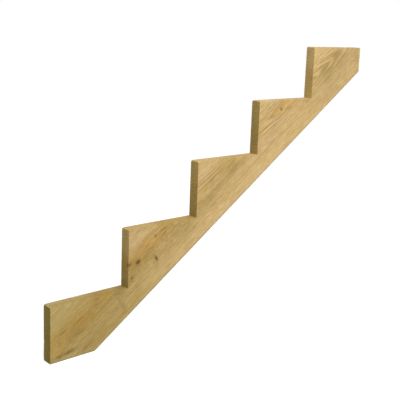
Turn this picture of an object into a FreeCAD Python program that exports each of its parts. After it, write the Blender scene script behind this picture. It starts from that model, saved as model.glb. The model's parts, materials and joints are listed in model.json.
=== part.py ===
"""Notched stair stringer, sawn from one planed plank of treated pine.

The plank lies along the slope of the stair. The steps, the level cut on the floor and the plumb cut
at the top are sawn out of it, so its planed, eased edge is left on the underside and as a narrow land
on each nosing.

X runs up the stair, Y goes through the plank's thickness and Z is up. The origin is the toe, where the
first riser meets the floor, at mid-thickness.
"""

import FreeCAD
import Part

import math
import os

# Stair layout, in millimetres
step_count = 5
step_rise = 190.5       # from one tread to the next, 7 1/2 in
step_run = 279.4        # from one riser to the next, 11 in
bottom_rise = 177.8     # from the floor to the first tread, 7 in, so half an inch under a full rise
top_run = 279.4         # from the last riser to the plumb cut, 11 in

# Plank, in millimetres: 2 x 10 in nominal, planed
plank_thickness = 38.1
plank_width = 234.95
plank_edge_radius = 3.5     # eased arrises along the planed edges
nose_trim = 1.5             # how far the sharp nosing would stand outside the plank's upper edge

# Worked out from the sizes above
total_run = (step_count - 1) * step_run + top_run
total_rise = bottom_rise + (step_count - 1) * step_rise
slope = math.atan2(step_rise, step_run)


def stair_outline():
    """The side view of the whole stair, from the toe up the steps and back along the floor."""
    outline = [(0, 0)]
    for step in range(step_count):
        tread_height = bottom_rise + step * step_rise
        outline.append((step * step_run, tread_height))
        if step < step_count - 1:
            outline.append(((step + 1) * step_run, tread_height))
    outline.append((total_run, total_rise))
    outline.append((total_run, 0))
    return outline


def stair_block():
    """Everything inside the stair's outline, wider than the plank on both sides."""
    corners = [FreeCAD.Vector(x, -plank_thickness, z) for x, z in stair_outline()]
    side = Part.Face(Part.makePolygon(corners + corners[:1]))
    return side.extrude(FreeCAD.Vector(0, 2 * plank_thickness, 0))


def is_long_edge(edge, length):
    """Tells whether an edge of the plank runs along its whole length."""
    return math.isclose(edge.Length, length) and math.isclose(edge.BoundBox.XLength, length)


def plank():
    """The planed plank with its eased edges, laid along the slope under the line of the nosings."""
    length = bottom_rise + math.hypot(total_run, total_rise)
    corner = FreeCAD.Vector(-bottom_rise, -plank_thickness / 2, -nose_trim - plank_width)
    board = Part.makeBox(length, plank_thickness, plank_width, corner)
    long_edges = [edge for edge in board.Edges if is_long_edge(edge, length)]
    board = board.makeFillet(plank_edge_radius, long_edges)
    tilt = FreeCAD.Rotation(FreeCAD.Vector(0, 1, 0), -math.degrees(slope))
    board.Placement = FreeCAD.Placement(FreeCAD.Vector(0, 0, bottom_rise), tilt)
    return board


def stringer():
    """The plank with the steps, the level cut and the plumb cut sawn out of it."""
    return plank().common(stair_block()).removeSplitter().Solids[0]


def main():
    os.makedirs("parts", exist_ok=True)
    piece = stringer()
    piece.exportStep("parts/stringer.step")
    box = piece.optimalBoundingBox()
    print(f"stringer {box.XLength:.1f} x {box.YLength:.1f} x {box.ZLength:.1f} mm,",
          f"{len(piece.Faces)} faces, {piece.Volume / 1e6:.3f} litres, valid {piece.isValid()}")


main()
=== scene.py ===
"""Looks of a notched stair stringer: the sawn plank, its treated pine, the studio light and the camera.

Lengths are in metres, in the part's own frame: X runs up the stair, Y goes through the plank's
thickness and Z is up. Places on the plank are given in board axes instead: along the grain from the
first nosing, and across the plank from its lower edge.
"""

import json
import math
from collections import namedtuple

import bmesh
import bpy
from mathutils import Matrix, Vector, noise


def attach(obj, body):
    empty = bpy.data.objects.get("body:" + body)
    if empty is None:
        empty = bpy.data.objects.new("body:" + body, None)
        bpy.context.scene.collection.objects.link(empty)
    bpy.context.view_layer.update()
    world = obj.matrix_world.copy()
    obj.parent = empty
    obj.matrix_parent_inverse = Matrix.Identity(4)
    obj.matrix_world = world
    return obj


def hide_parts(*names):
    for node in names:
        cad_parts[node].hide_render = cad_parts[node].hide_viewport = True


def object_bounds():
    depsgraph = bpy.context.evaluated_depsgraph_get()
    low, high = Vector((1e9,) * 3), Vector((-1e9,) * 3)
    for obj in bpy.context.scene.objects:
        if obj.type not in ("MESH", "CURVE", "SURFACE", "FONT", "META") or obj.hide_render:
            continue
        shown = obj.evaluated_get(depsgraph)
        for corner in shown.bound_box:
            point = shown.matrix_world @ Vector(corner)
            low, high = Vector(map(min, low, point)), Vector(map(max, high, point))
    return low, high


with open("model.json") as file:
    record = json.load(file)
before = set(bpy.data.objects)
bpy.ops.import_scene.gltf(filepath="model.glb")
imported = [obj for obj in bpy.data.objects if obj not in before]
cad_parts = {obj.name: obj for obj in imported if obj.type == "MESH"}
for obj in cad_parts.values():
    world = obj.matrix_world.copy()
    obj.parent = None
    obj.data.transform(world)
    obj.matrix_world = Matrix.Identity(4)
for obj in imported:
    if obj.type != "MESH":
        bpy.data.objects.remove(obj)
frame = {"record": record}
cad_low, cad_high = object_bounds()

# Stair layout, read from the frame
seats = {mount["name"]: Vector(mount["pos_m"]) for mount in frame["record"]["mounts"]}
step_count = sum(name.startswith("tread_seat") for name in seats)
tread_heights = [seats[f"tread_seat_{step}"].z for step in range(1, step_count + 1)]
riser_places = [seats[f"riser_seat_{step}"].x for step in range(1, step_count + 1)]
bottom_rise = tread_heights[0]
step_rise = tread_heights[1] - tread_heights[0]
step_run = riser_places[1] - riser_places[0]
total_run = cad_high.x
total_rise = cad_high.z
slope = math.atan2(step_rise, step_run)

# Plank
mm = 0.001
plank_thickness = cad_high.y - cad_low.y
plank_width = 234.95 * mm
plank_edge_radius = 3.5 * mm
plank_edge_segments = 6
nose_trim = 1.5 * mm        # how far the sharp nosing would stand outside the plank's upper edge
front_face = cad_low.y
grain_way = Vector((math.cos(slope), 0, math.sin(slope)))
across_way = Vector((-math.sin(slope), 0, math.cos(slope)))
board_origin = Vector((0, 0, bottom_rise)) - across_way * (nose_trim + plank_width)

# Saw work
saw_mark_spacing = 3.5 * mm
saw_mark_depth = 0.12 * mm
edge_break = 0.6 * mm
nosing_margin = 12 * mm     # the saw marks stop this far short of a nosing
end_margin = 14 * mm        # and this far short of the planed lower edge, on the foot and the top end

# How faces and edges are told apart
same_place = 0.01 * mm      # points nearer than this are one point, or lie in one plane
flat_share = 0.9999         # a flat face's normal follows its axis by more than this
parallel_share = 0.99       # an edge that follows an axis does so by more than this
end_grain_share = 0.2       # a sawn face's normal follows the grain by more than this
crease_angle = math.radians(40)
corner_angle = math.radians(30)

# Each sawn face: a point on it, the way it points, the way it runs, the stretch it runs over and the
# end of that stretch that lies by a planed edge
Cut = namedtuple("Cut", "place normal runs start stop margin")

# Marks on the broad faces, in millimetres of board axes. A slant is across over along, and a knot's
# side is -1 on the front face and 1 on the back.
Mark = namedtuple("Mark", "along across half_length half_width slant strength")
Knot = namedtuple("Knot", "along across half_length half_width darkness side")
knots = [
    Knot(306.5, 123.5, 9.5, 7.0, 0.9, -1),
    Knot(368.0, 81.0, 3.4, 7.5, 1.0, -1),
    Knot(260.5, 96.5, 5.0, 4.0, 0.45, -1),
    Knot(277.5, 139.0, 7.0, 4.5, 0.8, -1),
    Knot(405.5, 147.5, 3.2, 3.2, 0.8, -1),
    Knot(1089.5, 145.5, 4.2, 6.5, 0.68, -1),
    Knot(1297.0, 136.0, 8.0, 5.0, 0.4, -1),
    Knot(212.0, 61.0, 7.0, 5.5, 0.9, 1),
    Knot(655.0, 118.0, 10.0, 8.0, 1.0, 1),
    Knot(905.0, 52.0, 5.0, 4.0, 0.7, 1),
    Knot(1240.0, 96.0, 9.0, 7.0, 1.0, 1),
]
heart_patches = [
    Mark(32, 118, 84, 30, 0, 0.95),
    Mark(-45, 120, 54, 42, 0, 0.75),
    Mark(146, 125, 60, 27, -0.1, 0.85),
    Mark(300, 130, 50, 32, 0, 0.85),
    Mark(390, 138, 100, 25, 0, 0.95),
    Mark(338, 113, 44, 14, 0, 0.9),
    Mark(150, 112, 50, 20, 0, 0.6),
    Mark(648, 135, 18, 8, 0, 0.5),
    Mark(742, 151, 36, 9, 0, 0.5),
    Mark(1068, 149, 32, 10, -0.12, 0.75),
]
amber_patches = [
    Mark(1131, 147, 26, 15, 0, 0.95),
    Mark(1068, 149, 38, 9, -0.1, 0.55),
    Mark(1290, 119, 13, 5, 0, 0.4),
    Mark(375, 146, 85, 13, -0.03, 0.6),
]
brown_patches = [
    Mark(10, 99, 34, 14, 0, 0.5),
    Mark(118, 128, 26, 14, -0.2, 0.3),
    Mark(135, 90, 90, 20, 0, 0.3),
    Mark(216, 88, 40, 24, 0, 0.6),
    Mark(285, 106, 36, 34, 0, 0.5),
    Mark(345, 110, 28, 20, 0, 0.6),
    Mark(300, 86, 46, 12, 0, 0.35),
    Mark(398, 83, 50, 14, 0, 0.45),
    Mark(470, 105, 42, 20, 0, 0.65),
    Mark(522, 60, 30, 10, 0, 0.35),
    Mark(525, 88, 66, 18, 0, 0.55),
    Mark(642, 93, 66, 24, 0, 0.5),
    Mark(700, 112, 46, 16, 0, 0.35),
    Mark(775, 117, 42, 20, 0, 0.5),
    Mark(832, 106, 20, 13, 0, 0.35),
    Mark(1075, 172, 55, 18, -0.3, 0.5),
    Mark(1104, 149, 16, 9, 0.3, 0.55),
    Mark(1214, 91, 20, 9, -0.5, 0.4),
    Mark(1368, 122, 32, 17, 0, 0.65),
    Mark(1440, 144, 26, 13, 0, 0.85),
    Mark(1358, 95, 18, 14, 0, 0.4),
    Mark(1452, 111, 32, 18, 0, 0.35),
    Mark(1400, 150, 40, 4, -0.25, 0.4),
    Mark(1265, 45, 60, 20, 0, 0.2),
    Mark(1375, 45, 50, 20, 0, 0.25),
    Mark(1545, 48, 24, 26, 0, 0.35),
]
bleached_patches = [
    Mark(1010, 112, 140, 44, 0, 0.9),
    Mark(1450, 90, 170, 95, 0, 0.7),
    Mark(640, 158, 60, 10, 0, 0.7),
    Mark(345, 167, 60, 11, 0, 0.6),
]
treatment_stains = [
    Mark(-64, 84, 11, 5, -0.35, 0.95),
    Mark(-34, 72, 19, 6, -0.35, 0.95),
    Mark(-46, 77, 40, 8, -0.4, 0.5),
    Mark(14, 37, 22, 4, 0, 0.5),
    Mark(182, 101, 9, 6, -0.2, 0.4),
    Mark(197, 90, 13, 7, -0.4, 0.45),
    Mark(184, 60, 5, 34, 0, 0.3),
    Mark(260, 96, 10, 8, 0, 0.5),
    Mark(361, 70, 10, 12, 0, 0.3),
    Mark(364, 95, 10, 7, 0, 0.3),
    Mark(504, 59, 7, 3, 0, 0.3),
    Mark(544, 59, 8, 3, 0, 0.3),
    Mark(582, 38, 6, 3, 0, 0.3),
    Mark(580, 75, 11, 3, 0, 0.3),
    Mark(680, 104, 34, 10, 0, 0.32),
    Mark(745, 103, 114, 19, 0, 0.2),
    Mark(684, 141, 17, 7, 0, 0.35),
    Mark(784, 109, 10, 6, 0, 0.5),
    Mark(813, 115, 10, 5, 0, 0.45),
    Mark(795, 122, 11, 4, 0.2, 0.3),
    Mark(1368, 95, 10, 8, 0, 0.35),
    Mark(1385, 110, 50, 12, 0, 0.3),
    Mark(1370, 136, 30, 11, 0, 0.28),
    Mark(1445, 137, 29, 15, 0, 0.3),
    Mark(1448, 103, 13, 8, 0, 0.3),
    Mark(1420, 92, 190, 50, 0, 0.24),
    Mark(490, 62, 110, 12, 0, 0.12),
]
dark_streaks = [
    Mark(-14, 139, 14, 2.5, -0.1, 0.7),
    Mark(50, 128, 18, 2.4, 0, 0.75),
    Mark(129, 138, 9, 7.0, 0, 0.4),
    Mark(23, 96, 15, 2.6, -0.4, 0.55),
    Mark(-42, 123, 4, 8.0, 0.6, 0.3),
    Mark(235, 56.5, 95, 1.2, 0, 0.3),
    Mark(340, 142, 40, 1.8, 0, 0.3),
    Mark(330, 134, 26, 1.6, 0.05, 0.25),
    Mark(444, 143, 17, 4.0, -0.27, 0.7),
    Mark(438, 130, 19, 2.8, 0.26, 0.5),
    Mark(700, 159, 60, 1.8, 0, 0.4),
    Mark(690, 166, 70, 1.4, 0, 0.25),
    Mark(695, 146, 60, 1.8, 0, 0.3),
    Mark(796, 134, 24, 2.0, 0.13, 0.45),
    Mark(740, 42, 140, 1.0, 0, 0.3),
    Mark(870, 62.5, 125, 1.2, 0.035, 0.55),
    Mark(1075, 60.3, 105, 1.0, -0.055, 0.55),
    Mark(1000, 168, 20, 1.6, 0.05, 0.35),
    Mark(1037, 152, 9, 6.0, -0.35, 0.5),
    Mark(1062, 160, 34, 1.6, 0.2, 0.5),
    Mark(1056, 141.5, 26, 1.7, -0.2, 0.5),
    Mark(1016, 118.5, 62, 1.3, -0.1, 0.45),
    Mark(1360, 150, 50, 1.8, -0.24, 0.4),
    Mark(1150, 128, 40, 1.5, -0.11, 0.5),
]
pale_streaks = [
    Mark(690, 152, 64, 2.2, 0, 0.4),
    Mark(690, 118, 80, 2.6, 0, 0.75),
    Mark(740, 131, 30, 2.0, 0, 0.3),
    # The next streak, just under the check, is a painted highlight on the crack's lower lip
    Mark(1014, 124, 72, 1.8, -0.09, 0.5),
    Mark(1000, 143, 42, 6.0, -0.08, 0.45),
    Mark(1063, 167, 38, 2.2, 0.13, 0.5),
    Mark(1364, 156, 58, 2.6, -0.28, 0.75),
    Mark(1394, 129, 28, 2.4, 0.3, 0.65),
    Mark(1418, 139, 9, 5.0, 0, 0.6),
    Mark(1462, 151, 46, 2.6, -0.33, 0.5),
    Mark(1462, 121, 48, 2.4, 0.21, 0.45),
    Mark(1500, 132, 18, 8.0, 0, 0.65),
]
strong_grain = [
    Mark(1425, 138, 150, 46, 0, 1.0),
    Mark(705, 150, 115, 30, 0, 0.8),
    Mark(1060, 132, 160, 42, 0, 0.6),
    Mark(390, 138, 110, 30, 0, 0.5),
    Mark(110, 42, 100, 26, 0, 0.9),
]
# The check's dark line is painted shade in the crack
check_line = Mark(1040, 128, 102, 0.9, -0.1, 0.85)

# The check and the knots in the mesh
grid_spacing = 20 * mm      # of the lines on the broad faces
check_depth = 0.9 * mm
check_half_width = 0.8 * mm
check_floor = 0.1 * mm      # half the width of the groove's floor
check_inset = 4             # millimetres by which the groove ends before its dark line
knot_depth = 0.5 * mm
knot_roughness = 0.25
knot_grit = 3 * mm
knot_room = 16              # millimetres round a knot that get a finer grid
knot_cuts = 9

# Pine, as linear colours
sapwood = (0.590, 0.401, 0.167, 1)
outer_sapwood = (0.595, 0.422, 0.197, 1)
bleached_sapwood = (0.595, 0.407, 0.200, 1)
olive_wood = (0.500, 0.385, 0.130, 1)
heartwood = (0.462, 0.285, 0.063, 1)
amber_heart = (0.620, 0.375, 0.125, 1)
brown_heart = (0.330, 0.220, 0.066, 1)
treated_green = (0.475, 0.352, 0.112, 1)
latewood = (0.400, 0.262, 0.085, 1)
# Pale earlywood, and the painted highlight under the check
pale_grain_and_lip_highlight = (0.690, 0.500, 0.230, 1)
stained_wood = (0.240, 0.185, 0.058, 1)
# Painted shade on the plank's lower, downward-facing edges and round its foot
shaded_edge_colour = (0.270, 0.245, 0.165, 1)
# Dark grain lines, and the painted shade along the check
dark_grain_and_crack_shade = (0.275, 0.165, 0.052, 1)
knot_rim = (0.330, 0.200, 0.055, 1)
knot_heart = (0.110, 0.072, 0.020, 1)

# How red, green and blue follow the shade of the fibres: pale ones are less yellow than dark ones
fibre_powers = (0.78, 1.0, 1.65)

# How the sawn faces are tinted against the planed ones, face by face: partly the darker colour of the end
# grain, partly painted shade and painted light for how much light each face takes. The treads from the
# first step up, then the risers from the first step up with the plumb end last
tread_tints_and_shade = [
    (0.79, 0.77, 0.65, 1),
    (0.83, 0.80, 0.66, 1),
    (0.96, 0.91, 0.86, 1),
    (1.10, 1.11, 1.33, 1),
    (1.02, 0.97, 0.88, 1),
]
plumb_tints_and_shade = [
    (0.66, 0.68, 0.41, 1),
    (0.92, 0.94, 0.72, 1),
    (0.73, 0.73, 0.52, 1),
    (0.62, 0.63, 0.45, 1),
    (0.91, 0.91, 0.79, 1),
    (0.95, 0.94, 0.82, 1),
]

# Patterns of the pine: repeats per millimetre along, through and across the grain, and levels of detail
Pattern = namedtuple("Pattern", "along through across detail")
fine_pattern = Pattern(0.032, 0.62, 0.62, 3)
thread_pattern = Pattern(0.011, 0.3, 0.3, 3)
coarse_pattern = Pattern(0.004, 0.09, 0.09, 3)
mottle_pattern = Pattern(0.09, 0.25, 0.25, 4)
blotch_pattern = Pattern(0.03, 0.05, 0.05, 4)
cloud_pattern = Pattern(0.006, 0.012, 0.012, 2)
olive_pattern = Pattern(0.011, 0.03, 0.03, 3)
speck_pattern = Pattern(0.11, 0.26, 0.26, 2)
dark_hair_pattern = Pattern(0.0035, 0.13, 0.13, 1)
pale_hair_pattern = Pattern(0.003, 0.17, 0.17, 1)
hair_gap_pattern = Pattern(0.012, 0.05, 0.05, 2)
wander_pattern = Pattern(0.004, 0.006, 0.006, 3)
ring_pattern = Pattern(0.004, 0.02, 0.03, 2)
ragged_pattern = Pattern(0.12, 0.24, 0.24, 4)
broken_pattern = Pattern(0.03, 0.3, 0.3, 3)
speckled_pattern = Pattern(0.16, 0.42, 0.42, 4)
saw_line_pattern = Pattern(0.45, 0.012, 0, 2)
saw_fuzz_pattern = Pattern(0.8, 0.8, 0.8, 2)

# Smooth steps from one value to another: where a step starts and ends, and its values there
Ramp = namedtuple("Ramp", "start end low high", defaults=(0, 1))

# Steps over stretches of the plank, in millimetres of board axes
front_depth = Ramp(front_face / mm + 24, front_face / mm + 10)  # of marks on the front face alone
toe_green = Ramp(600, -60, 0, 0.85)
upper_band = Ramp(140, 185)
outer_along = Ramp(-20, 250, 0.25, 0.7)
calm_along = Ramp(330, 150)
calm_across = Ramp(62, 85)
lower_band = Ramp(62, 30)
lower_toe_shade = Ramp(0, 500, -0.05, 0.09)
lower_top_shade = Ramp(950, 1350, 0, -0.09)
upper_toe_shade = Ramp(170, 60, 0, 0.1)
toe_shade = Ramp(40, -90, 0, 0.15)

# Steps over the values of a pattern
olive_step = Ramp(0, 0.2, 0, 0.4)
speck_step = Ramp(0.18, 0.28, 0, 0.35)
dark_hair_step = Ramp(0.05, 0.01, 0, 0.22)
pale_hair_step = Ramp(0.05, 0.01, 0, 0.3)
hair_gap_step = Ramp(-0.12, 0.06)

# How strongly each pattern shades the pine, and how its calm stretch differs
fine_shade, thread_shade, coarse_shade = 1.12, 0.48, 0.2
mottle_shade, blotch_shade = 0.3, 0.42
calm_streaks, calm_mottle = -0.45, 0.25
darkest_shade = 0.1

# Other amounts in the pine
cloud_green, outer_green = 0.8, -0.5
pith_heart = 0.2
strong_contrast, planed_contrast, sawn_contrast = 0.7, 0.15, 0.3
knot_rim_amount = 0.75
knot_raggedness = 1.2
wander_reach = 11           # millimetres

# The kinds of marks: their list, how softly they fade, the pattern of their rims and how ragged those
# are, and whether they are on the front face alone
Kind = namedtuple("Kind", "marks softness pattern raggedness front_only")
mark_kinds = {
    "bleached": Kind(bleached_patches, 0.8, ragged_pattern, 2.6, True),
    "heart": Kind(heart_patches, 0.75, ragged_pattern, 2.6, False),
    "brown": Kind(brown_patches, 0.85, ragged_pattern, 2.6, False),
    "amber": Kind(amber_patches, 0.75, ragged_pattern, 2.6, True),
    "stain": Kind(treatment_stains, 0.7, speckled_pattern, 3.2, True),
    "dark": Kind(dark_streaks, 0.6, broken_pattern, 2.2, True),
    # the check's dark line: painted shade in the crack
    "check": Kind([check_line], 0.4, broken_pattern, 0.8, True),
    "pale": Kind(pale_streaks, 0.6, broken_pattern, 2.2, True),
    "strong": Kind(strong_grain, 0.7, ragged_pattern, 2.6, False),
}

# The colours over the sapwood by the names of their masks, first to last, under and over the fibres
layers_under = [
    ("outer", outer_sapwood), ("olive", olive_wood), ("bleached", bleached_sapwood),
    ("green", treated_green), ("heart", heartwood), ("brown", brown_heart), ("amber", amber_heart),
]
layers_over = [
    ("late", latewood), ("pale", pale_grain_and_lip_highlight), ("stain", stained_wood), ("dark", dark_grain_and_crack_shade),
    ("rim", knot_rim), ("core", knot_heart), ("edge_shade", shaded_edge_colour),
]

# The rows of sawn faces: the axis along which they follow each other, their places on it and their tints,
# with painted shade and light in them
Row = namedtuple("Row", "axis places tints")
level_row = Row(2, tread_heights, tread_tints_and_shade)
plumb_row = Row(0, riser_places + [total_run], plumb_tints_and_shade)

VALUE, VECTOR, COLOUR = "NodeSocketFloat", "NodeSocketVector", "NodeSocketColor"


def take(piece):
    """Takes one piece in hand, with everything else left alone."""
    bpy.ops.object.select_all(action="DESELECT")
    bpy.context.view_layer.objects.active = piece
    piece.select_set(True)


def open_piece(piece):
    """Takes one piece in hand in edit mode."""
    take(piece)
    bpy.ops.object.mode_set(mode="EDIT")


def pick(kind, test):
    """Selects the faces or edges of the piece in hand that pass a test, and nothing else."""
    bpy.ops.mesh.select_mode(type=kind)
    bpy.ops.mesh.select_all(action="DESELECT")
    mesh = bmesh.from_edit_mesh(bpy.context.object.data)
    for item in (mesh.faces if kind == "FACE" else mesh.edges):
        item.select_set(test(item))
    bmesh.update_edit_mesh(bpy.context.object.data)


def direction(edge):
    """The way an edge runs, as a unit vector."""
    return (edge.verts[1].co - edge.verts[0].co).normalized()


def board_place(point):
    """A point's place along the grain and across the plank."""
    offset = point - board_origin
    return offset.dot(grain_way), offset.dot(across_way)


def is_sawn(normal):
    """Tells whether a face that points this way cuts the grain, and so was sawn and not planed."""
    return abs(normal.dot(grain_way)) > end_grain_share


def is_broad(face):
    """Tells whether a face is part of one of the two broad planed faces."""
    return abs(face.normal.y) > flat_share


def is_flat(face):
    """Tells whether a face is broad, or one of the flat strips of the planed edges."""
    return is_broad(face) or abs(face.normal.dot(across_way)) > flat_share and not is_sawn(face.normal)


def planed_plank():
    """The plank with its eased edges, laid along the slope under the line of the nosings."""
    length = bottom_rise + math.hypot(total_run, total_rise)
    bpy.ops.object.select_all(action="DESELECT")
    bpy.ops.mesh.primitive_cube_add(size=1)
    plank = bpy.context.object
    plank.name = "sawn_stringer"
    open_piece(plank)
    bpy.ops.transform.resize(value=(length, plank_thickness, plank_width))
    pick("EDGE", lambda edge: abs(direction(edge).x) > parallel_share)
    bpy.ops.mesh.bevel(offset=plank_edge_radius, segments=plank_edge_segments, profile=0.5)
    bpy.ops.object.mode_set(mode="OBJECT")
    centre = Vector((length / 2 - bottom_rise, 0, -nose_trim - plank_width / 2))
    tilt = Matrix.Rotation(-slope, 4, "Y")
    plank.matrix_world = Matrix.Translation((0, 0, bottom_rise)) @ tilt @ Matrix.Translation(centre)
    bpy.ops.object.transform_apply(location=True, rotation=True, scale=True)
    return plank


def saw_ends(plank):
    """The level foot, the first plumb cut, the last level cut and the plumb top end."""
    ends = [((0, 0, 0), (0, 0, -1)), ((0, 0, 0), (-1, 0, 0)),
            ((0, 0, total_rise), (0, 0, 1)), ((total_run, 0, 0), (1, 0, 0))]
    open_piece(plank)
    for place, waste_side in ends:
        bpy.ops.mesh.select_all(action="SELECT")
        bpy.ops.mesh.bisect(plane_co=place, plane_no=waste_side, use_fill=True, clear_outer=True)
    bpy.ops.object.mode_set(mode="OBJECT")


def saw_steps(plank):
    """The waste of each step but the last, sawn out with one block a step."""
    spare = 20 * mm
    blocks = []
    for step in range(step_count - 1):
        low = Vector((riser_places[step] - spare, -plank_thickness, tread_heights[step]))
        high = Vector((riser_places[step + 1], plank_thickness, tread_heights[step + 1] + spare))
        bpy.ops.object.select_all(action="DESELECT")
        bpy.ops.mesh.primitive_cube_add(size=1, location=(low + high) / 2, scale=high - low)
        blocks.append(bpy.context.object)
    for block in blocks:
        notch = plank.modifiers.new("step", "BOOLEAN")
        notch.operation = "DIFFERENCE"
        notch.solver = "EXACT"
        notch.object = block
        take(plank)
        bpy.ops.object.modifier_apply(modifier=notch.name)
        bpy.data.objects.remove(block)
    open_piece(plank)
    bpy.ops.mesh.select_all(action="SELECT")
    bpy.ops.mesh.remove_doubles(threshold=same_place)
    bpy.ops.object.mode_set(mode="OBJECT")


def saw_cuts():
    """The foot, the plumb end, and the riser and the tread of each step."""
    foot_end = board_origin.x - board_origin.z * step_run / step_rise - end_margin
    plumb_low = board_origin.z + (total_run - board_origin.x) * step_rise / step_run + end_margin
    x_way, z_way = Vector((1, 0, 0)), Vector((0, 0, 1))
    cuts = [Cut(Vector((0, 0, 0)), -z_way, x_way, 0, foot_end, foot_end),
            Cut(Vector((total_run, 0, 0)), x_way, z_way, plumb_low, total_rise, plumb_low)]
    for step in range(step_count):
        nosing = Vector((riser_places[step], 0, tread_heights[step]))
        riser_foot = tread_heights[step - 1] if step else 0
        riser_top = nosing.z - nosing_margin
        tread_start = nosing.x + nosing_margin
        tread_end = riser_places[step + 1] if step + 1 < step_count else total_run
        cuts.append(Cut(nosing, -x_way, z_way, riser_foot, riser_top, riser_top))
        cuts.append(Cut(nosing, z_way, x_way, tread_start, tread_end, tread_start))
    return cuts


def lies_in(cut, point):
    """Tells whether a point lies in the plane of a sawn face."""
    return abs((point - cut.place).dot(cut.normal)) < same_place


def is_face_of(cut, face):
    """Tells whether a face is part of a sawn face."""
    return is_sawn(face.normal) and all(lies_in(cut, vert.co) for vert in face.verts)


def is_rail(cut, edge):
    """Tells whether an edge is one of the two long borders of a sawn face."""
    shortest = 30 * mm
    low, high = cut.start - same_place, cut.stop + same_place
    ends = [vert.co for vert in edge.verts]
    follows = abs(direction(edge).dot(cut.runs)) > parallel_share and edge.calc_length() > shortest
    return follows and all(lies_in(cut, end) and low < end.dot(cut.runs) < high for end in ends)


def divide_sawn_faces(plank, cuts):
    """Cross lines from side to side on each sawn face, as close as the marks of the saw."""
    open_piece(plank)
    for cut in cuts:
        pick("FACE", lambda face: is_face_of(cut, face))
        bpy.ops.mesh.bisect(plane_co=cut.runs * cut.margin, plane_no=cut.runs)
        pick("EDGE", lambda edge: is_rail(cut, edge))
        length = cut.stop - cut.start
        bpy.ops.mesh.subdivide(number_cuts=round(length / saw_mark_spacing) - 1)
    bpy.ops.object.mode_set(mode="OBJECT")


def break_sawn_edges(plank):
    """A slight break on every outer edge that the saw left."""
    open_piece(plank)
    pick("EDGE", lambda edge: edge.is_convex and edge.calc_face_angle(0) > corner_angle)
    bpy.ops.mesh.bevel(offset=edge_break, segments=2, profile=0.5)
    bpy.ops.object.mode_set(mode="OBJECT")


def chip_size(run, cut_number, side):
    """How far the fibres are torn out at a place along a sawn edge, from 0 to 1."""
    chip_length, least = 9 * mm, 0.2
    cut_offset, side_offset = 5.3, 11.7
    torn = noise.noise(Vector((run / chip_length, cut_offset * cut_number, side_offset * side)))
    return max(0, torn - least) / (1 - least)


def saw_mark(run, cut_number):
    """How deep the saw bit at a place along a sawn face, from 0 to 1."""
    waves, cut_offset = 0.7, 3.1
    mark = noise.noise(Vector((run / saw_mark_spacing * waves, cut_offset * cut_number, 0)))
    return 0.5 + 0.5 * mark


def tear_out(plank, cuts):
    """Small chips along the sawn edges, and the shallow marks that the saw left between them."""
    broad_reach, sawn_reach = 4.0, 2.0
    near = 1.2 * edge_break
    for vert in plank.data.vertices:
        side = math.copysign(1, vert.co.y)
        inset = plank_thickness / 2 - abs(vert.co.y)
        for number, cut in enumerate(cuts):
            run = vert.co.dot(cut.runs)
            depth = -(vert.co - cut.place).dot(cut.normal)
            if not (cut.start + near < run < cut.stop - near and -same_place < depth < near):
                continue
            if inset < near:
                chip = chip_size(run, number, side)
                vert.co -= cut.normal * depth * broad_reach * chip
                vert.co.y -= side * inset * sawn_reach * chip
            if depth < same_place:
                vert.co -= cut.normal * saw_mark_depth * saw_mark(run, number)


def slice_broad_faces(plank):
    """Cuts both broad faces into a grid along and across the grain."""
    places = [board_place(vert.co) for vert in plank.data.vertices]
    open_piece(plank)
    for axis, way in enumerate((grain_way, across_way)):
        low = min(place[axis] for place in places)
        high = max(place[axis] for place in places)
        for line in range(1, int((high - low) / grid_spacing) + 1):
            pick("FACE", is_broad)
            bpy.ops.mesh.bisect(plane_co=board_origin + way * (low + line * grid_spacing), plane_no=way)
    bpy.ops.object.mode_set(mode="OBJECT")


def crease_flat_faces(plank):
    """Smooth shading on the eased edges, with a crease wherever a flat face ends."""
    take(plank)
    bpy.ops.object.shade_smooth_by_angle(angle=crease_angle)
    open_piece(plank)
    pick("EDGE", lambda edge: len({is_flat(face) for face in edge.link_faces}) == 2
         or edge.calc_face_angle(0) > crease_angle)
    bpy.ops.mesh.mark_sharp()
    bpy.ops.object.mode_set(mode="OBJECT")


def sort_finishes(plank):
    """Gives planed faces the first material, level cuts the second and plumb cuts the third."""
    for face in plank.data.polygons:
        if not is_sawn(face.normal):
            face.material_index = 0
        else:
            face.material_index = 1 if abs(face.normal.z) > abs(face.normal.x) else 2


def knot_reach(knot, along, across):
    """How far a place lies from a knot's centre, where 1 is the knot's rim."""
    length = (along / mm - knot.along) / knot.half_length
    width = (across / mm - knot.across) / knot.half_width
    return math.hypot(length, width)


def check_offset(along, across):
    """How far a place lies above the line of the check."""
    return across - (check_line.across + check_line.slant * (along / mm - check_line.along)) * mm


def is_by_knot(face):
    """Tells whether a face of the grid lies on a knot of its own side or next to one."""
    along, across = board_place(face.calc_center_median())
    near = [knot for knot in knots if abs(along / mm - knot.along) < knot.half_length + knot_room
            and abs(across / mm - knot.across) < knot.half_width + knot_room]
    return is_broad(face) and any(knot.side * face.normal.y > 0 for knot in near)


def is_by_check(face):
    """Tells whether a face of the front grid lies on the check or next to it."""
    along, across = board_place(face.calc_center_median())
    beside = abs(along / mm - check_line.along) < check_line.half_length
    near = abs(check_offset(along, across)) < grid_spacing
    return is_broad(face) and face.normal.y < 0 and beside and near


def divide_check_and_knots(plank):
    """Lines along the check and a finer grid at the knots, so that both can sink."""
    middle = board_origin + grain_way * check_line.along * mm + across_way * check_line.across * mm
    upward = (across_way - grain_way * check_line.slant).normalized()
    open_piece(plank)
    for offset in (-check_half_width, 0, check_half_width):
        pick("FACE", is_by_check)
        bpy.ops.mesh.bisect(plane_co=middle + upward * offset, plane_no=upward)
    pick("FACE", is_by_knot)
    bpy.ops.mesh.subdivide(number_cuts=knot_cuts)
    bpy.ops.object.mode_set(mode="OBJECT")


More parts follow.
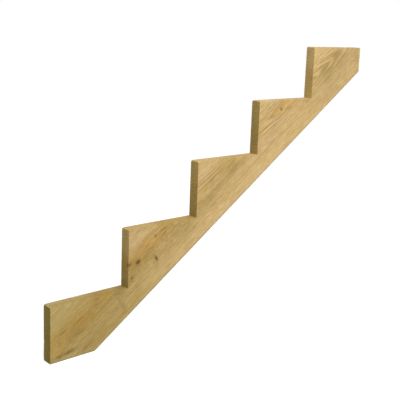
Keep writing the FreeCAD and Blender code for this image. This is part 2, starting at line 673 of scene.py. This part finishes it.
def knot_sink(knot, point):
    """How low a knot stands at a point on its face. Past its rim this is less than 0."""
    rough = 1 - knot_roughness + knot_roughness * noise.noise(point / knot_grit)
    return knot_depth * rough * (1 - knot_reach(knot, *board_place(point)) ** 2)


def check_sink(point):
    along, across = board_place(point)
    if abs(check_offset(along, across)) >= check_floor:
        return 0
    share = (along / mm - check_line.along) / (check_line.half_length - check_inset)
    return check_depth * (1 - share ** 2)


def sink_check_and_knots(plank):
    """A shallow drying check along the grain of the fourth step, and knots that stand a little low."""
    for vert in plank.data.vertices:
        side = math.copysign(1, vert.co.y)
        if plank_thickness / 2 - abs(vert.co.y) > same_place:
            continue
        sinks = [knot_sink(knot, vert.co) for knot in knots if knot.side == side]
        if side < 0:
            sinks.append(check_sink(vert.co))
        vert.co.y -= side * max(0, *sinks)


def sawn_stringer():
    """The stringer as the real one is made, from a planed plank with a saw."""
    cuts = saw_cuts()
    plank = planed_plank()
    saw_ends(plank)
    saw_steps(plank)
    divide_sawn_faces(plank, cuts)
    break_sawn_edges(plank)
    tear_out(plank, cuts)
    slice_broad_faces(plank)
    crease_flat_faces(plank)
    sort_finishes(plank)
    divide_check_and_knots(plank)
    sink_check_and_knots(plank)
    return plank


class Wiring:
    """Adds nodes to one tree. Each input takes a plain value or the output of another node."""

    def __init__(self, tree):
        self.tree = tree

    def feed(self, socket, value):
        """Links an output to a socket, or sets the socket to a plain value."""
        if isinstance(value, bpy.types.NodeSocket):
            self.tree.links.new(value, socket)
        else:
            socket.default_value = value

    def add(self, kind, inputs=None, settings=None):
        """One node, with its inputs by name and its settings."""
        node = self.tree.nodes.new(kind)
        for name, value in (settings or {}).items():
            setattr(node, name, value)
        for name, value in (inputs or {}).items():
            self.feed(node.inputs[name], value)
        return node

    def feed_all(self, node, values):
        """Feeds the first inputs of a node in their order."""
        for socket, value in zip(node.inputs, values):
            self.feed(socket, value)
        return node.outputs

    def math(self, operation, *values):
        """One operation on values."""
        node = self.add("ShaderNodeMath", settings={"operation": operation})
        return self.feed_all(node, values)["Value"]

    def chain(self, operation, values):
        """One operation over a whole list of values."""
        total = values[0]
        for value in values[1:]:
            total = self.math(operation, total, value)
        return total

    def add_up(self, start, *parts):
        """A start plus every part, each given as a value and its weight."""
        total = start
        for value, weight in parts:
            total = self.math("MULTIPLY_ADD", value, weight, total)
        return total

    def vector(self, operation, *values):
        """One operation on vectors or colours."""
        node = self.add("ShaderNodeVectorMath", settings={"operation": operation})
        return self.feed_all(node, values)["Value" if operation == "LENGTH" else "Vector"]

    def shaded(self, colour, shade, powers):
        """A colour times a shade that is raised to each channel's own power."""
        factors = [self.math("POWER", shade, power) for power in powers]
        return self.vector("MULTIPLY", colour, self.join(*factors))

    def ramp(self, value, step):
        """A smooth step, taken over a value."""
        inputs = {"Value": value, "From Min": step.start, "From Max": step.end,
                  "To Min": step.low, "To Max": step.high}
        node = self.add("ShaderNodeMapRange", inputs, {"interpolation_type": "SMOOTHSTEP"})
        return node.outputs["Result"]

    def noise(self, place, pattern):
        """Noise about zero in one pattern."""
        repeats = (pattern.along, pattern.through, pattern.across)
        stretched = self.vector("MULTIPLY", place, repeats)
        inputs = {"Vector": stretched, "Scale": 1, "Detail": pattern.detail}
        return self.math("SUBTRACT", self.add("ShaderNodeTexNoise", inputs).outputs["Fac"], 0.5)

    def tint(self, amount, colour, other, blend="MIX"):
        """Two colours blended by an amount. The node's colour sockets have no names of their own."""
        amount_socket, colour_socket, other_socket, result = 0, 6, 7, 2
        node = self.add("ShaderNodeMix", settings={"data_type": "RGBA", "blend_type": blend})
        for socket, value in ((amount_socket, amount), (colour_socket, colour), (other_socket, other)):
            self.feed(node.inputs[socket], value)
        return node.outputs[result]

    def layered(self, colour, layers, masks):
        """A colour with other colours laid over it in turn, each by its mask."""
        for name, layer in layers:
            colour = self.tint(masks[name], colour, layer)
        return colour

    def split(self, vector):
        """The three parts of a vector."""
        node = self.add("ShaderNodeSeparateXYZ", {"Vector": vector})
        return node.outputs["X"], node.outputs["Y"], node.outputs["Z"]

    def join(self, x, y, z):
        """A vector made of three parts."""
        return self.add("ShaderNodeCombineXYZ", {"X": x, "Y": y, "Z": z}).outputs["Vector"]

    def group(self, tree, inputs):
        """The outputs of a node group, with its inputs by name."""
        return self.add("ShaderNodeGroup", inputs, {"node_tree": tree}).outputs


def new_group(name, inputs, outputs):
    """An empty node group with named sockets, as its wiring, its inputs and its outputs."""
    tree = bpy.data.node_groups.new(name, "ShaderNodeTree")
    for label, kind in inputs.items():
        tree.interface.new_socket(label, in_out="INPUT", socket_type=kind)
    for label, kind in outputs.items():
        tree.interface.new_socket(label, in_out="OUTPUT", socket_type=kind)
    wiring = Wiring(tree)
    return wiring, wiring.add("NodeGroupInput").outputs, wiring.add("NodeGroupOutput").inputs


def centre_offsets(wiring, given):
    """How far a place lies along and across from the centre of a mark or a knot."""
    along, _, across = wiring.split(given["Place"])
    length = wiring.math("SUBTRACT", along, given["Along"])
    return length, wiring.math("SUBTRACT", across, given["Across"])


def oval_reach(wiring, given, length, width):
    """How far offsets reach from the centre of a mark or a knot, where 1 is its rim."""
    length_share = wiring.math("DIVIDE", length, given["Half Length"])
    width_share = wiring.math("DIVIDE", width, given["Half Width"])
    return wiring.vector("LENGTH", wiring.join(length_share, width_share, 0))


def mark_group():
    """A long soft patch on the board, with a slant and a ragged rim."""
    sizes = ("Along", "Across", "Half Length", "Half Width", "Slant", "Strength", "Softness", "Ragged")
    inputs = {"Place": VECTOR, **dict.fromkeys(sizes, VALUE)}
    wiring, given, result = new_group("mark", inputs, {"Mask": VALUE})
    length, width = centre_offsets(wiring, given)
    width = wiring.math("SUBTRACT", width, wiring.math("MULTIPLY", length, given["Slant"]))
    reach = wiring.math("ADD", oval_reach(wiring, given, length, width), given["Ragged"])
    outside = wiring.math("ADD", 1, given["Softness"])
    inside = wiring.math("SUBTRACT", 1, given["Softness"])
    mask = wiring.ramp(reach, Ramp(outside, inside))
    wiring.feed(result["Mask"], wiring.math("MULTIPLY", mask, given["Strength"]))
    return wiring.tree


def knot_group():
    """A branch end: its dark core, the stained rim round it and how far it pushes the grain aside."""
    core_step, rim_step, push_step = Ramp(1.3, 0.4), Ramp(2.4, 0.8), Ramp(4, 0.5, 0, -0.65)
    side_step = Ramp(8, 14)
    sizes = ("Along", "Across", "Half Length", "Half Width", "Darkness", "Side", "Ragged")
    inputs = {"Place": VECTOR, **dict.fromkeys(sizes, VALUE)}
    wiring, given, result = new_group("knot", inputs, {"Core": VALUE, "Rim": VALUE, "Push": VALUE})
    length, width = centre_offsets(wiring, given)
    reach = oval_reach(wiring, given, length, width)
    ragged = wiring.math("ADD", reach, given["Ragged"])
    through = wiring.split(given["Place"])[1]
    near_face = wiring.ramp(wiring.math("MULTIPLY", through, given["Side"]), side_step)
    strength = wiring.math("MULTIPLY", near_face, given["Darkness"])
    wiring.feed(result["Core"], wiring.math("MULTIPLY", wiring.ramp(ragged, core_step), strength))
    wiring.feed(result["Rim"], wiring.math("MULTIPLY", wiring.ramp(ragged, rim_step), strength))
    push = wiring.math("MULTIPLY", wiring.ramp(reach, push_step), near_face)
    wiring.feed(result["Push"], wiring.math("MULTIPLY", width, push))
    return wiring.tree


def ring_group():
    """Growth rings about a pith that runs behind the front face and sinks deeper towards the top end."""
    ring_width, unevenness = 9.5, 9
    pith_across, pith_depth, deepening, deep_end, deepening_power = 138, 12, 26, 1415, 5
    darkening, paling, pith_step = Ramp(0.08, 0.62), Ramp(0.98, 0.74), Ramp(48, 16)
    outputs = {"Latewood": VALUE, "Pith": VALUE}
    wiring, given, result = new_group("growth rings", {"Place": VECTOR}, outputs)
    along, through, across = wiring.split(given["Place"])
    way_up = wiring.math("MAXIMUM", wiring.math("DIVIDE", along, deep_end), 0)
    sunk = wiring.math("POWER", way_up, deepening_power)
    depth = wiring.math("MULTIPLY_ADD", sunk, deepening, pith_depth + front_face / mm)
    radius = wiring.vector("LENGTH", wiring.join(wiring.math("SUBTRACT", through, depth),
                                                 wiring.math("SUBTRACT", across, pith_across), 0))
    radius = wiring.add_up(radius, (wiring.noise(given["Place"], ring_pattern), unevenness))
    phase = wiring.math("FRACT", wiring.math("DIVIDE", radius, ring_width))
    dark = wiring.math("MULTIPLY", wiring.ramp(phase, darkening), wiring.ramp(phase, paling))
    wiring.feed(result["Latewood"], dark)
    wiring.feed(result["Pith"], wiring.ramp(radius, pith_step))
    return wiring.tree


def group_inputs(item, place, ragged):
    """The inputs of the node group of a mark or a knot."""
    sizes = {name.replace("_", " ").title(): value for name, value in item._asdict().items()}
    return {"Place": place, "Ragged": ragged, **sizes}


def mark_masks(wiring, mark_tree, place, rims):
    """A mask of each kind of mark, by its name."""
    front = wiring.ramp(wiring.split(place)[1], front_depth)
    kind_masks = {}
    for name, kind in mark_kinds.items():
        ragged = wiring.math("MULTIPLY", rims[kind.pattern], kind.raggedness)
        inputs = [{"Softness": kind.softness, **group_inputs(mark, place, ragged)} for mark in kind.marks]
        mask = wiring.chain("MAXIMUM", [wiring.group(mark_tree, given)["Mask"] for given in inputs])
        kind_masks[name] = wiring.math("MULTIPLY", mask, front) if kind.front_only else mask
    return kind_masks


def knot_masks(wiring, knot_tree, place, rims):
    """Masks of the cores and the rims of all knots, and how far they push the grain aside."""
    ragged = wiring.math("MULTIPLY", rims[ragged_pattern], knot_raggedness)
    ends = [wiring.group(knot_tree, group_inputs(knot, place, ragged)) for knot in knots]
    core = wiring.chain("MAXIMUM", [end["Core"] for end in ends])
    rim = wiring.chain("MAXIMUM", [end["Rim"] for end in ends])
    push = wiring.chain("ADD", [end["Push"] for end in ends])
    return core, wiring.math("MULTIPLY", rim, knot_rim_amount), push


def bent_place(wiring, place, push):
    """A place as the grain has it, which wanders along the plank and bends round the knots."""
    along, through, across = wiring.split(place)
    wander = wiring.add_up(push, (wiring.noise(place, wander_pattern), wander_reach))
    return wiring.join(along, through, wiring.math("ADD", across, wander))


def zone_masks(wiring, place):
    """Masks of the outer sapwood, the olive patches and the green of the treatment."""
    along, _, across = wiring.split(place)
    outer = wiring.math("MULTIPLY", wiring.ramp(across, upper_band), wiring.ramp(along, outer_along))
    cloud = wiring.noise(place, cloud_pattern)
    green = wiring.add_up(wiring.ramp(along, toe_green), (cloud, cloud_green), (outer, outer_green))
    olive = wiring.ramp(wiring.noise(place, olive_pattern), olive_step)
    return {"outer": outer, "olive": olive, "green": wiring.math("MAXIMUM", green, 0)}


def hair_lines(wiring, bent, pattern, step, gaps):
    """Hair lines along the grain where a pattern passes through zero, with gaps in them."""
    lines = wiring.ramp(wiring.math("ABSOLUTE", wiring.noise(bent, pattern)), step)
    return wiring.math("MULTIPLY", lines, gaps)


def shaded_edge_mask(wiring, place, patchy):
    """A mask of painted shade along the plank's lower, downward-facing edges and round its foot."""
    patchiness, edge_shade_step = 8, Ramp(11, 0.5, 0, 0.45)
    along, through, across = wiring.split(place)
    inset = wiring.math("SUBTRACT", plank_thickness / 2 / mm, wiring.math("ABSOLUTE", through))
    height = wiring.add_up(board_origin.z / mm, (along, grain_way.z), (across, across_way.z))
    corner = wiring.math("ADD", wiring.math("MINIMUM", across, height), inset)
    return wiring.ramp(wiring.add_up(corner, (patchy, patchiness)), edge_shade_step)


def fibre_shade(wiring, place, fine, thread, coarse, mottle):
    """How bright the fibres are, about 1."""
    along, _, across = wiring.split(place)
    calm = wiring.math("MULTIPLY", wiring.ramp(along, calm_along), wiring.ramp(across, calm_across))
    streaks = wiring.add_up(0, (coarse, coarse_shade), (fine, fine_shade), (thread, thread_shade))
    lower = wiring.math("ADD", wiring.ramp(along, lower_toe_shade), wiring.ramp(along, lower_top_shade))
    shade = wiring.add_up(1, (streaks, wiring.add_up(1, (calm, calm_streaks))),
                          (mottle, wiring.add_up(mottle_shade, (calm, calm_mottle))),
                          (wiring.noise(place, blotch_pattern), blotch_shade),
                          (wiring.ramp(across, lower_band), lower),
                          (wiring.ramp(across, upper_band), wiring.ramp(along, upper_toe_shade)))
    shade = wiring.math("ADD", shade, wiring.ramp(along, toe_shade))
    return wiring.math("MAXIMUM", shade, darkest_shade)


def pine_group(mark_tree, knot_tree, ring_tree):
    """Treated pine in board axes: grain, heartwood, stains, streaks and knots, and painted shade along
    the lower edges.
    """
    base_roughness, fine_roughness, late_roughness, core_roughness = 0.7, 0.25, -0.15, -0.15
    thread_relief, late_relief, dark_relief = 0.6, 0.4, -0.6
    wiring, given, result = new_group("treated pine", {"Place": VECTOR, "Ring Contrast": VALUE},
                                      {"Colour": COLOUR, "Roughness": VALUE, "Relief": VALUE})
    place = given["Place"]
    rims = {pattern: wiring.noise(place, pattern)
            for pattern in (ragged_pattern, broken_pattern, speckled_pattern)}
    core, rim, push = knot_masks(wiring, knot_tree, place, rims)
    bent = bent_place(wiring, place, push)
    ring = wiring.group(ring_tree, {"Place": bent})
    fine, thread, coarse = [wiring.noise(bent, pattern)
                            for pattern in (fine_pattern, thread_pattern, coarse_pattern)]
    mottle = wiring.noise(place, mottle_pattern)

    marks = mark_masks(wiring, mark_tree, place, rims)
    heart = wiring.math("MAXIMUM", marks["heart"], wiring.math("MULTIPLY", ring["Pith"], pith_heart))
    gaps = wiring.ramp(wiring.noise(place, hair_gap_pattern), hair_gap_step)
    specks = wiring.ramp(wiring.noise(place, speck_pattern), speck_step)
    dark_hairs = hair_lines(wiring, bent, dark_hair_pattern, dark_hair_step, gaps)
    pale_hairs = hair_lines(wiring, bent, pale_hair_pattern, pale_hair_step, gaps)
    # The check's dark line, painted shade in the crack, takes the colour of the dark grain
    dark = wiring.chain("MAXIMUM", [marks["dark"], marks["check"], specks, dark_hairs])
    pale = wiring.math("MAXIMUM", marks["pale"], pale_hairs)
    contrast = wiring.add_up(given["Ring Contrast"], (marks["strong"], strong_contrast))
    late = wiring.math("MULTIPLY", ring["Latewood"], contrast)
    # Painted shade along the lower edges and round the foot, made patchy by the mottle
    edge_shade = shaded_edge_mask(wiring, place, mottle)
    masks = {**marks, **zone_masks(wiring, place), "heart": heart, "dark": dark, "pale": pale,
             "late": late, "rim": rim, "core": core, "edge_shade": edge_shade}

    colour = wiring.layered(sapwood, layers_under, masks)
    shade = fibre_shade(wiring, place, fine, thread, coarse, mottle)
    colour = wiring.shaded(colour, shade, fibre_powers)
    wiring.feed(result["Colour"], wiring.layered(colour, layers_over, masks))
    roughness = wiring.add_up(base_roughness, (fine, fine_roughness), (late, late_roughness),
                              (core, core_roughness))
    wiring.feed(result["Roughness"], roughness)
    relief = wiring.add_up(fine, (thread, thread_relief), (late, late_relief), (dark, dark_relief))
    wiring.feed(result["Relief"], relief)
    return wiring.tree


def saw_group():
    """The marks of a saw that went straight through, from side to side of the plank."""
    line_shade, fuzz_shade, fuzz_relief = 0.3, 0.22, 0.7
    wiring, given, result = new_group("saw marks", {"Place": VECTOR}, {"Shade": VALUE, "Relief": VALUE})
    along, through, across = wiring.split(given["Place"])
    run = wiring.math("ADD", along, across)
    lines = wiring.noise(wiring.join(run, through, 0), saw_line_pattern)
    fuzz = wiring.noise(given["Place"], saw_fuzz_pattern)
    wiring.feed(result["Shade"], wiring.add_up(1, (lines, line_shade), (fuzz, fuzz_shade)))
    wiring.feed(result["Relief"], wiring.add_up(lines, (fuzz, fuzz_relief)))
    return wiring.tree


def row_tint_and_shade(wiring, own_axes, row):
    """The tint of each of a row of sawn faces, by its place, painted shade and light included. Any other
    face takes the first tint.
    """
    reach = 4 * mm
    coordinate = wiring.split(own_axes)[row.axis]
    colour = row.tints[0]
    for place, tint in zip(row.places[1:], row.tints[1:]):
        colour = wiring.tint(wiring.math("COMPARE", coordinate, place, reach), colour, tint)
    return colour


def pine_material(name, pine_tree, saw_tree=None, row=None):
    """One finish of the pine: planed, or sawn with a tint for each face of a row that holds painted shade
    and light.
    """
    gloss, bump_strength, bump_height = 0.15, 0.5, 0.2 * mm
    material = bpy.data.materials.new(name)
    material.use_nodes = True
    wiring = Wiring(material.node_tree)
    shader = material.node_tree.nodes["Principled BSDF"]
    own_axes = wiring.add("ShaderNodeTexCoord").outputs["Object"]
    millimetres = (1 / mm,) * 3
    origin = (-board_origin.dot(grain_way) / mm, 0, -board_origin.dot(across_way) / mm)
    board = wiring.add("ShaderNodeMapping", {"Vector": own_axes, "Location": origin,
                                             "Rotation": (0, slope, 0), "Scale": millimetres})
    contrast = sawn_contrast if row else planed_contrast
    wood = wiring.group(pine_tree, {"Place": board.outputs["Vector"], "Ring Contrast": contrast})
    colour, relief = wood["Colour"], wood["Relief"]
    if row:
        marks = wiring.group(saw_tree, {"Place": wiring.vector("MULTIPLY", own_axes, millimetres)})
        # Each sawn face's tint, which holds painted shade and light, and then the saw marks
        for factor in (row_tint_and_shade(wiring, own_axes, row), marks["Shade"]):
            colour = wiring.tint(1, colour, factor, "MULTIPLY")
        relief = wiring.math("ADD", relief, marks["Relief"])
    bump = wiring.add("ShaderNodeBump", {"Height": relief, "Strength": bump_strength,
                                         "Distance": bump_height})
    wiring.feed(shader.inputs["Base Color"], colour)
    wiring.feed(shader.inputs["Specular IOR Level"], gloss)
    wiring.feed(shader.inputs["Roughness"], wood["Roughness"])
    wiring.feed(shader.inputs["Normal"], bump.outputs["Normal"])
    return material


def add_finishes(piece):
    """The three finishes, in the order in which the faces were sorted."""
    pine_tree = pine_group(mark_group(), knot_group(), ring_group())
    saw_tree = saw_group()
    finishes = [pine_material("planed_pine", pine_tree),
                pine_material("level_cut_pine", pine_tree, saw_tree, level_row),
                pine_material("plumb_cut_pine", pine_tree, saw_tree, plumb_row)]
    for finish in finishes:
        piece.data.materials.append(finish)


def add_camera():
    """The camera of the photograph: its place, its tilt and its angle of view."""
    image_width = 400
    focal_length = 736.3        # in pixels of the photograph
    yaw, pitch, roll = math.radians(41.94), math.radians(10.82), math.radians(2.13)
    lens = bpy.data.cameras.new("camera")
    lens.sensor_width = 36
    lens.lens = lens.sensor_width * focal_length / image_width
    lens.shift_y = -0.08
    camera = bpy.data.objects.new("camera", lens)
    bpy.context.scene.collection.objects.link(camera)
    camera.location = (-1.0420, -1.7902 + front_face, 0.9969)
    turn = Matrix.Rotation(-yaw, 3, "Z") @ Matrix.Rotation(math.pi / 2 - pitch, 3, "X")
    camera.rotation_euler = (turn @ Matrix.Rotation(roll, 3, "Z")).to_euler()
    bpy.context.scene.camera = camera


def by_ray(wiring, lit, seen):
    """One shader for the light on the object, and another for rays from the camera, gloss or glass."""
    paths = wiring.add("ShaderNodeLightPath").outputs
    rays = [paths[ray] for ray in ("Is Camera Ray", "Is Glossy Ray", "Is Transmission Ray")]
    mix = wiring.add("ShaderNodeMixShader")
    return wiring.feed_all(mix, (wiring.chain("MAXIMUM", rays), lit, seen))["Shader"]


def add_floor():
    """A white floor that keeps a faint shadow of the object."""
    floor_size = 80
    lit_grey, shadow_grey = (0.6, 0.6, 0.6, 1), (0.5, 0.5, 0.5, 1)
    glow_strength = 0.79
    bpy.ops.object.select_all(action="DESELECT")
    bpy.ops.mesh.primitive_plane_add(size=floor_size)
    floor = bpy.context.object
    floor.name = "floor"
    material = bpy.data.materials.new("white_floor")
    material.use_nodes = True
    material.node_tree.nodes.clear()
    wiring = Wiring(material.node_tree)
    lit = wiring.add("ShaderNodeBsdfDiffuse", {"Color": lit_grey}).outputs["BSDF"]
    shadow = wiring.add("ShaderNodeBsdfDiffuse", {"Color": shadow_grey}).outputs["BSDF"]
    glow = wiring.add("ShaderNodeEmission", {"Strength": glow_strength}).outputs["Emission"]
    seen = wiring.feed_all(wiring.add("ShaderNodeAddShader"), (shadow, glow))["Shader"]
    wiring.add("ShaderNodeOutputMaterial", {"Surface": by_ray(wiring, lit, seen)})
    floor.data.materials.append(material)


def add_world():
    """White to the camera, and a soft even light on the object."""
    white = (1, 1, 1, 1)
    light_strength = 0.24
    world = bpy.data.worlds.new("studio")
    bpy.context.scene.world = world
    world.use_nodes = True
    wiring = Wiring(world.node_tree)
    world.node_tree.nodes.clear()
    lit = wiring.add("ShaderNodeBackground", {"Color": white, "Strength": light_strength})
    seen = wiring.add("ShaderNodeBackground", {"Color": white, "Strength": 1})
    surface = by_ray(wiring, lit.outputs["Background"], seen.outputs["Background"])
    wiring.add("ShaderNodeOutputWorld", {"Surface": surface})


def add_lamp(kind, name, place, target, energy, size):
    """One soft lamp, aimed at a point; a sun's size is the angle that it fills."""
    light = bpy.data.lights.new(name, kind)
    light.energy = energy
    if kind == "SUN":
        light.angle = size
    else:
        light.size = size
    lamp = bpy.data.objects.new(name, light)
    lamp.location = place
    lamp.rotation_euler = (Vector(target) - lamp.location).to_track_quat("-Z", "Y").to_euler()
    bpy.context.scene.collection.objects.link(lamp)


def add_lamps():
    """An even light in front, a key over the upper steps, a light behind and a softbox for the risers."""
    middle, upper_steps, top_riser = (0.7, 0, 0.45), (0.9, 0, 0.6), (1.15, 0, 0.85)
    add_lamp("SUN", "even", (1.0, -2.4, 2.9), middle, energy=0.66, size=math.radians(35))
    add_lamp("AREA", "key", (1.25, -1.5, 2.0), upper_steps, energy=27, size=1.2)
    add_lamp("SUN", "back", (1.2, 3.0, 0.67), middle, energy=1.9, size=math.radians(30))
    add_lamp("AREA", "softbox", (-0.1, -0.55, 1.4), top_riser, energy=9, size=0.6)


stringer = sawn_stringer()
add_finishes(stringer)
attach(stringer, "root")
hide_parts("stringer")

add_camera()
add_floor()
add_world()
add_lamps()
bpy.context.scene.view_settings.view_transform = "Standard"
